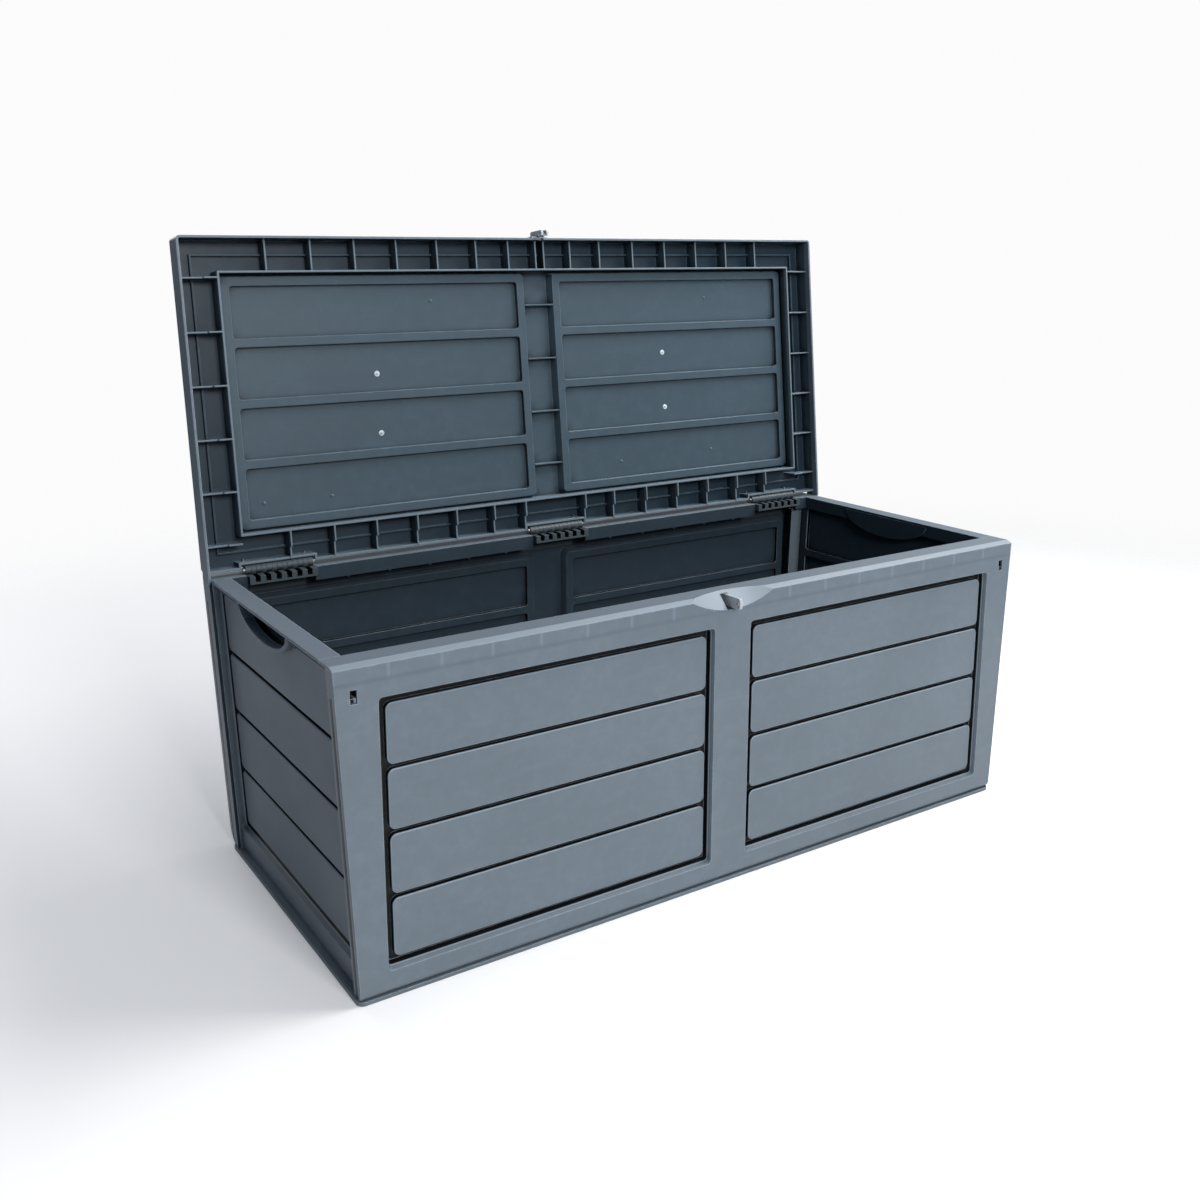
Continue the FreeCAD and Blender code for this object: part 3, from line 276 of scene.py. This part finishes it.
def lid_relief(tree, coords, tones, outside):
    """Tones on the lid's inside: painted highlight on the crests, painted shade in the channels, painted light and
    shade on faces that look up or down.
    """
    place = closed_place(tree, coords)
    normal = parts_of(tree, coords, "Normal")
    inside = maths(tree, "SUBTRACT", 1.0, outside)
    sideways = maths(tree, "ABSOLUTE", place.outputs["X"], 0.0)
    in_field = maths(tree, "MULTIPLY", maths(tree, "LESS_THAN", sideways, LID_FIELD_X),
                     maths(tree, "MULTIPLY",
                           maths(tree, "GREATER_THAN", place.outputs["Y"], LID_FIELD_Y[0]),
                           maths(tree, "LESS_THAN", place.outputs["Y"], LID_FIELD_Y[1])))
    deep = ramp(tree, place, LID_CHANNEL_FLOOR - LID_CHANNEL_BLUR, LID_CHANNEL_FLOOR, output="Z")
    # painted shade in the lid's channels
    channel = maths(tree, "MULTIPLY", deep, maths(tree, "SUBTRACT", 1.0, in_field))
    tones = tint(tree, tones, maths(tree, "MULTIPLY", channel, inside), LID_CHANNEL_SHADE_TONE)
    # painted highlight on the crests
    crest_highlight = ramp(tree, place, LID_CREST + LID_CREST_BLUR, LID_CREST, output="Z")
    tones = tint(tree, tones, maths(tree, "MULTIPLY", crest_highlight, inside), LID_CREST_HIGHLIGHT_TONE)
    above = ramp(tree, normal, *TILTED, output="Z")
    tones = tint(tree, tones, maths(tree, "MULTIPLY", above, inside), LID_LIT_TONE)
    below = ramp(tree, normal, -TILTED[0], -TILTED[1], output="Z")
    return tint(tree, tones, maths(tree, "MULTIPLY", below, inside), LID_SHADED_TONE)


def wall_relief(tree, coords, tones, axis):
    """Tones on a wall's outside: painted shade in the grooves, painted highlight on the plank edges and on the
    rim's top and bevel.
    """
    place = parts_of(tree, coords, "Object")
    normal = parts_of(tree, coords, "Normal")
    outer = maths(tree, "ABSOLUTE", place.outputs[axis], 0.0)
    plank, top = PLANK_Y, LONG_FIELD_TOP
    if axis == "X":
        drop = maths(tree, "SUBTRACT", RIM_TOP, place.outputs["Z"])
        outer = maths(tree, "ADD", outer, maths(tree, "MULTIPLY", drop, END_LEAN))
        plank, top = PLANK_X, RIM_TOP - END_FIELD_DROP
    facing = maths(tree, "MULTIPLY", normal.outputs[axis], place.outputs[axis])
    in_field = maths(tree, "MULTIPLY", maths(tree, "LESS_THAN", place.outputs["Z"], top),
                     maths(tree, "GREATER_THAN", facing, GROOVE_FACING))
    # painted highlight on the plank edges
    edge = maths(tree, "MULTIPLY", maths(tree, "LESS_THAN", outer, plank),
                 maths(tree, "MULTIPLY", maths(tree, "GREATER_THAN", outer, plank - GROOVE_IN),
                       in_field))
    tones = tint(tree, tones, maths(tree, "MULTIPLY", edge, EDGE_HIGHLIGHT_STRENGTH), PLANK_EDGE_HIGHLIGHT_TONE)
    # painted shade in the grooves
    behind = ramp(tree, outer, plank - GROOVE_IN + GROOVE_BLUR, plank - GROOVE_IN)
    before = maths(tree, "GREATER_THAN", outer, plank - GROOVE_OUT)
    groove_shade = maths(tree, "MULTIPLY", behind, maths(tree, "MULTIPLY", before, in_field))
    tones = tint(tree, tones, groove_shade, GROOVE_SHADE_TONE)
    # painted highlight on the rim's top and bevel
    on_rim = maths(tree, "GREATER_THAN", place.outputs["Z"], RIM_TOP - RIM_DEPTH)
    rim_top_highlight = maths(tree, "MULTIPLY", ramp(tree, normal, *LEVEL, output="Z"), on_rim)
    tones = tint(tree, tones, rim_top_highlight, RIM_TOP_HIGHLIGHT_TONE)
    slope_highlight = maths(tree, "MULTIPLY", ramp(tree, normal, *SLOPING, output="Z"),
                    ramp(tree, normal, LEVEL[1], LEVEL[0], output="Z"))
    return tint(tree, tones, maths(tree, "MULTIPLY", slope_highlight, on_rim), RIM_SLOPE_HIGHLIGHT_TONE)


def rib_sinks(tree, coords, tones):
    """Tones with pale upright lines where the rim's ribs stand behind a long wall's face."""
    place = parts_of(tree, coords, "Object")
    outer = maths(tree, "ABSOLUTE", place.outputs["Y"], 0.0)
    on_face = maths(tree, "GREATER_THAN", outer, LONG_FACE_Y)
    sideways = maths(tree, "ABSOLUTE", place.outputs["X"], 0.0)
    across = maths(tree, "PINGPONG", sideways, RIB_PITCH / 2)
    line = ramp(tree, across, RIB_PITCH / 2 - 2 * RIB_HALF, RIB_PITCH / 2 - RIB_HALF)
    above = ramp(tree, place, RIB_FOOT - RIB_HALF, RIB_FOOT + RIB_HALF, output="Z")
    lines = maths(tree, "MULTIPLY", maths(tree, "MULTIPLY", line, above), on_face)
    from_foot = maths(tree, "ABSOLUTE", maths(tree, "SUBTRACT", place.outputs["Z"], RIB_FOOT), 0.0)
    band = maths(tree, "MULTIPLY", ramp(tree, from_foot, 3 * RIB_HALF, 0.0), on_face)
    tones = tint(tree, tones, maths(tree, "MULTIPLY", lines, SINK_STRENGTH), SINK_LINE_TONE)
    return tint(tree, tones, maths(tree, "MULTIPLY", band, SINK_STRENGTH), SINK_BAND_TONE)


def new_finish(name):
    """A new material with its node tree and shader."""
    material = bpy.data.materials.new(name)
    material.use_nodes = True
    tree = material.node_tree
    return material, tree, tree.nodes["Principled BSDF"]


def add_bump(tree, height, normal, strength, distance):
    """Raises a surface by a height, on top of an earlier normal if there is one."""
    bump = add(tree, "ShaderNodeBump")
    bump.inputs["Strength"].default_value = strength
    bump.inputs["Distance"].default_value = distance
    join(tree, height, bump, 0, "Height")
    if normal:
        join(tree, normal, bump, "Normal", "Normal")
    return bump


def plastic_tones(tree, coords, mottle, cloud):
    """Uneven tones of moulded plastic: mottling, clouds and flow streaks."""
    streak = noise(tree, coords, scale=9.0, detail=3.0, roughness=0.55, stretch=(1.0, 1.0, 6.0))
    tones = tint(tree, PLAIN, ramp(tree, mottle, 0.40, 0.72, out_high=0.30), MOTTLE_TONE)
    tones = tint(tree, tones, ramp(tree, cloud, 0.38, 0.70, out_high=0.35), CLOUD_TONE)
    return tint(tree, tones, ramp(tree, streak, 0.55, 0.78, out_high=0.25), STREAK_TONE)


def rubbed_and_highlit_edges(tree, tones, rounded, mottle, hollow):
    """Paler tones, rubbed wear and painted highlight, where the rounded normal leaves the face's own normal."""
    geometry = add(tree, "ShaderNodeNewGeometry")
    turn = add(tree, "ShaderNodeVectorMath", operation="DOT_PRODUCT")
    join(tree, rounded, turn, "Normal", 0)
    join(tree, geometry, turn, "True Normal", 1)
    rub_and_highlight = add(tree, "ShaderNodeMapRange")
    rub_and_highlight.inputs["From Min"].default_value = EDGE_TURN[0]
    rub_and_highlight.inputs["From Max"].default_value = EDGE_TURN[1]
    rub_and_highlight.inputs["To Max"].default_value = RUB_AND_HIGHLIGHT_LIMIT
    join(tree, turn, rub_and_highlight, "Value", "Value")
    rub_and_highlight = maths(tree, "MULTIPLY", rub_and_highlight, ramp(tree, mottle, 0.30, 0.65, out_low=0.45))
    rub_and_highlight = maths(tree, "MULTIPLY", rub_and_highlight, ramp(tree, hollow, 0.25, 0.60, output="AO"))
    return tint(tree, tones, rub_and_highlight, RUB_AND_HIGHLIGHT_TONE)


def plastic_gloss(tree, mottle, cloud, rough):
    """Roughness that varies a little over the surface."""
    gloss = ramp(tree, mottle, 0.30, 0.75, out_low=rough - 0.03, out_high=rough + 0.04)
    return maths(tree, "ADD", gloss, ramp(tree, cloud, 0.35, 0.70, out_low=-0.02, out_high=0.03))


def plastic_surface(tree, coords, rounded):
    """Fine grain over a slight waviness, on top of rounded edges."""
    fine = noise(tree, coords, scale=950.0, detail=2.0, roughness=0.6)
    pebble = noise(tree, coords, scale=330.0, detail=2.0, roughness=0.5)
    warp = noise(tree, coords, scale=11.0, detail=1.0, roughness=0.4)
    grained = add_bump(tree, maths(tree, "ADD", fine, pebble), rounded, strength=0.55,
                       distance=GRAIN_HEIGHT)
    return add_bump(tree, warp, grained, strength=0.30, distance=WAVE_HEIGHT)


def moulded_plastic(name, colour, rough=0.46, edge=0.0020, inside=None, outward="Y",
                    sinks=False, specular=PLASTIC_SPECULAR):
    """Fine-grained polypropylene: mottling, flow streaks, painted shade in creases, painted highlight and rubbing
    on edges.

    With an inside colour, which is painted shade, the faces that look into the box, or with
    "lid" the lid's inside, are darker; the outside keeps the paler colour: the faces that look
    outward along an axis, or with "lid" the lid's top and skirt. The edge is the radius that
    edges are rounded to, in metres.
    """
    material, tree, shader = new_finish(name)
    coords = add(tree, "ShaderNodeTexCoord")
    mottle = noise(tree, coords, scale=55.0, detail=4.0, roughness=0.62)
    cloud = noise(tree, coords, scale=4.5, detail=3.0, roughness=0.5)

    paint = colour
    # painted shade: faces inside the box, or the lid's inside, take the darker inside colour
    if inside:
        outside = lid_mask(tree, coords) if outward == "lid" else wall_mask(tree, coords, outward)
        paint = tint(tree, inside, outside, colour)
    tones = plastic_tones(tree, coords, mottle, cloud)
    if sinks:
        tones = rib_sinks(tree, coords, tones)

    # painted shade in creases, where a point sees little of its surroundings
    hollow = add(tree, "ShaderNodeAmbientOcclusion", samples=4, only_local=True)
    hollow.inputs["Distance"].default_value = CREASE_REACH
    crease_shade = ramp(tree, hollow, *OPENNESS, out_high=CREASE_LIMIT, output="AO")
    tones = tint(tree, tones, crease_shade, CREASE_SHADE_TONE)
    if outward == "lid":
        tones = lid_relief(tree, coords, tones, outside)
    elif inside:
        tones = wall_relief(tree, coords, tones, outward)

    # paler edges: rubbed wear and painted highlight
    rounded = add(tree, "ShaderNodeBevel", samples=4)
    rounded.inputs["Radius"].default_value = edge
    tones = rubbed_and_highlit_edges(tree, tones, rounded, mottle, hollow)
    shade = add(tree, "ShaderNodeMix", data_type="RGBA", blend_type="MULTIPLY")
    shade.inputs[0].default_value = 1.0
    set_colour(tree, paint, shade.inputs[MIX_FIRST])
    set_colour(tree, tones, shade.inputs[MIX_SECOND])
    set_colour(tree, shade, shader.inputs["Base Color"])

    join(tree, plastic_gloss(tree, mottle, cloud, rough), shader, 0, "Roughness")
    shader.inputs["Specular IOR Level"].default_value = specular
    shader.inputs["IOR"].default_value = PLASTIC_IOR
    join(tree, plastic_surface(tree, coords, rounded), shader, "Normal", "Normal")
    return material


def plated_steel(name, colour, rough):
    """Drawn or plated steel with fine lengthwise lines and dull spots."""
    material, tree, shader = new_finish(name)
    coords = add(tree, "ShaderNodeTexCoord")
    lines = noise(tree, coords, scale=300.0, detail=2.0, roughness=0.5, stretch=(0.05, 3.0, 3.0))
    spots = noise(tree, coords, scale=160.0, detail=3.0, roughness=0.6)
    dull = tuple(channel * STEEL_SPOT for channel in colour)
    paint = tint(tree, colour, ramp(tree, spots, 0.45, 0.75, out_high=0.6), dull)
    set_colour(tree, paint, shader.inputs["Base Color"])
    gloss = ramp(tree, spots, 0.35, 0.75, out_low=rough, out_high=rough + 0.2)
    join(tree, gloss, shader, 0, "Roughness")
    shader.inputs["Metallic"].default_value = 1.0
    drawn = add_bump(tree, lines, None, strength=0.4, distance=DRAWN_HEIGHT)
    join(tree, drawn, shader, "Normal", "Normal")
    return material


def finish_nodes():
    """Gives every CAD node the finish of its material slot."""
    finishes = {
        "wall_plastic": moulded_plastic("wall_plastic_finish", WALL_COLOUR,
                                        inside=INSIDE_SHADE_COLOUR, sinks=True),
        "lid_plastic": moulded_plastic("lid_plastic_finish", WALL_COLOUR, rough=0.44,
                                       inside=LID_INSIDE_SHADE_COLOUR, outward="lid"),
        "floor_plastic": moulded_plastic("floor_plastic_finish", FLOOR_COLOUR, rough=0.52),
        "hinge_plastic": moulded_plastic("hinge_plastic_finish", HINGE_COLOUR, rough=0.40,
                                         edge=0.0006),
        "fitting_plastic": moulded_plastic("fitting_plastic_finish", FITTING_COLOUR, rough=0.42,
                                           edge=0.0005),
        "pin_steel": plated_steel("pin_steel_finish", STEEL_COLOUR, rough=0.30),
        "screw_steel": plated_steel("screw_steel_finish", STEEL_COLOUR, rough=0.26),
    }
    end_finish = moulded_plastic("end_plastic_finish", WALL_COLOUR, inside=INSIDE_SHADE_COLOUR,
                                 outward="X", specular=END_SPECULAR)
    for part in frame["record"]["subparts"]:
        piece = nodes[part["node"]]
        for place in piece.material_slots:
            place.material = finishes[part["material_slot"]]
            if part["node"].endswith("end_panel"):
                place.material = end_finish
    return finishes


def landing(node, start, direction):
    """Where a straight line from a point first meets a CAD node, and the face's normal there."""
    piece = nodes[node]
    there = piece.matrix_world.inverted()
    way = there.to_3x3() @ Vector(direction)
    hit, place, normal, _ = piece.ray_cast(there @ Vector(start), way)
    if not hit:
        raise ValueError(f"nothing of {node} lies that way")
    return piece.matrix_world @ place, (piece.matrix_world.to_3x3() @ normal).normalized()


def turned_mark(name, profile, places, body, finish):
    """One small turned shape, given as (radius, height) from rim to middle, at every place."""
    form = bmesh.new()
    for place, normal in places:
        upright = normal.to_track_quat("Z", "Y").to_matrix().to_4x4()
        stand = Matrix.Translation(place) @ upright
        rings = []
        for radius, height in profile:
            ring = []
            for step in range(MARK_SIDES):
                angle = 2 * math.pi * step / MARK_SIDES
                point = Vector((radius * math.cos(angle), radius * math.sin(angle), height))
                ring.append(form.verts.new(stand @ point))
            rings.append(ring)
        for outer, inner in zip(rings, rings[1:]):
            for step in range(MARK_SIDES):
                after = (step + 1) % MARK_SIDES
                form.faces.new((outer[step], outer[after], inner[after], inner[step]))
        form.faces.new(rings[-1])
        form.faces.new(tuple(reversed(rings[0])))
    for face in form.faces:
        face.smooth = True
    mesh = bpy.data.meshes.new(name)
    form.to_mesh(mesh)
    form.free()
    marks = bpy.data.objects.new(name, mesh)
    bpy.context.scene.collection.objects.link(marks)
    mesh.materials.append(finish)
    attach(marks, body)


def lid_places(spots):
    """Points on the inside of the open lid, from fractions of its width and height."""
    low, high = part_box("lid_panel")
    places = []
    for across, up in spots:
        x = low[0] + across * (high[0] - low[0])
        z = low[2] + up * (high[2] - low[2])
        places.append(landing("lid_panel", (x, MARK_SIGHT_Y, z), (0.0, 1.0, 0.0)))
    return places


def moulding_marks(finishes):
    """Gate stubs and ejector-pin marks on the inside of the lid."""
    turned_mark("lid_gate_marks", GATE_PROFILE, lid_places(GATE_SPOTS), "lid",
                finishes["fitting_plastic"])
    turned_mark("lid_ejector_marks", EJECTOR_PROFILE, lid_places(EJECTOR_SPOTS), "lid",
                finishes["lid_plastic"])


def floor_finish():
    """Pale, faintly glowing floor that fades out far from the box."""
    material, tree, shader = new_finish("studio_floor_finish")
    coords = add(tree, "ShaderNodeTexCoord")
    patch = noise(tree, coords, scale=0.8, detail=2.0, roughness=0.5)
    paint = tint(tree, FLOOR_COLOURS[0], ramp(tree, patch, 0.3, 0.7), FLOOR_COLOURS[1])
    set_colour(tree, paint, shader.inputs["Base Color"])
    shader.inputs["Roughness"].default_value = FLOOR_ROUGHNESS
    set_colour(tree, WHITE, shader.inputs["Emission Color"])
    shader.inputs["Emission Strength"].default_value = FLOOR_GLOW
    clear = add(tree, "ShaderNodeBsdfTransparent")
    fade = add(tree, "ShaderNodeMixShader")
    reach = add(tree, "ShaderNodeVectorMath", operation="LENGTH")
    join(tree, coords, reach, "Object", 0)
    join(tree, ramp(tree, reach, *FLOOR_FADE, output="Value"), fade, 0, 0)
    tree.links.new(shader.outputs[0], fade.inputs[1])
    tree.links.new(clear.outputs[0], fade.inputs[2])
    tree.links.new(fade.outputs[0], tree.nodes["Material Output"].inputs["Surface"])
    return material


def pale_floor():
    """A wide pale floor with a faint unevenness."""
    mesh = bpy.data.meshes.new("studio_floor")
    form = bmesh.new()
    bmesh.ops.create_circle(form, cap_ends=True, segments=FLOOR_SIDES, radius=FLOOR_RADIUS)
    form.to_mesh(mesh)
    form.free()
    floor = bpy.data.objects.new("studio_floor", mesh)
    bpy.context.scene.collection.objects.link(floor)
    floor.location.z = -FLOOR_DROP
    floor.data.materials.append(floor_finish())


def soft_light(name, place, aim, size, power):
    """A large area lamp at a place, aimed at a point."""
    data = bpy.data.lights.new(name, "AREA")
    data.shape = "RECTANGLE"
    data.size = size[0]
    data.size_y = size[1]
    data.energy = power
    lamp = bpy.data.objects.new(name, data)
    lamp.location = place
    direction = Vector(aim) - Vector(place)
    lamp.rotation_euler = direction.to_track_quat("-Z", "Y").to_euler()
    bpy.context.scene.collection.objects.link(lamp)


def studio():
    """Dim surroundings that look white to the camera, and the lamps."""
    world = bpy.data.worlds.new("studio_air")
    world.use_nodes = True
    tree = world.node_tree
    air = tree.nodes["Background"]
    seen = add(tree, "ShaderNodeLightPath")
    coords = add(tree, "ShaderNodeTexCoord")
    around = parts_of(tree, coords, "Generated")
    side = ramp(tree, around, -1.0, 1.0, *AMBIENT, output="X")
    strength = add(tree, "ShaderNodeMapRange")
    join(tree, side, strength, 0, "To Min")
    strength.inputs["To Max"].default_value = BACKDROP
    join(tree, seen, strength, "Is Camera Ray", "Value")
    whiter = maths(tree, "MAXIMUM", ramp(tree, around, -1.0, 1.0, output="X"),
                   seen.outputs["Is Camera Ray"])
    set_colour(tree, tint(tree, LEFT_AIR, whiter, WHITE), air.inputs["Color"])
    join(tree, strength, air, 0, "Strength")
    bpy.context.scene.world = world
    for name, place, aim, size, power in LIGHTS:
        soft_light(name, place, aim, size, power)


def product_camera():
    """The camera at the product view's angle."""
    data = bpy.data.cameras.new("view_camera")
    data.sensor_width = CAMERA_SENSOR
    data.lens = CAMERA_LENS
    data.shift_y = CAMERA_SHIFT_Y
    camera = bpy.data.objects.new("view_camera", data)
    camera.location = CAMERA_PLACE
    camera.rotation_euler = (math.radians(90.0 - CAMERA_PITCH), 0.0, math.radians(CAMERA_YAW))
    bpy.context.scene.collection.objects.link(camera)
    bpy.context.scene.camera = camera


moulding_marks(finish_nodes())
pale_floor()
studio()
product_camera()
bpy.context.scene.view_settings.view_transform = "Standard"
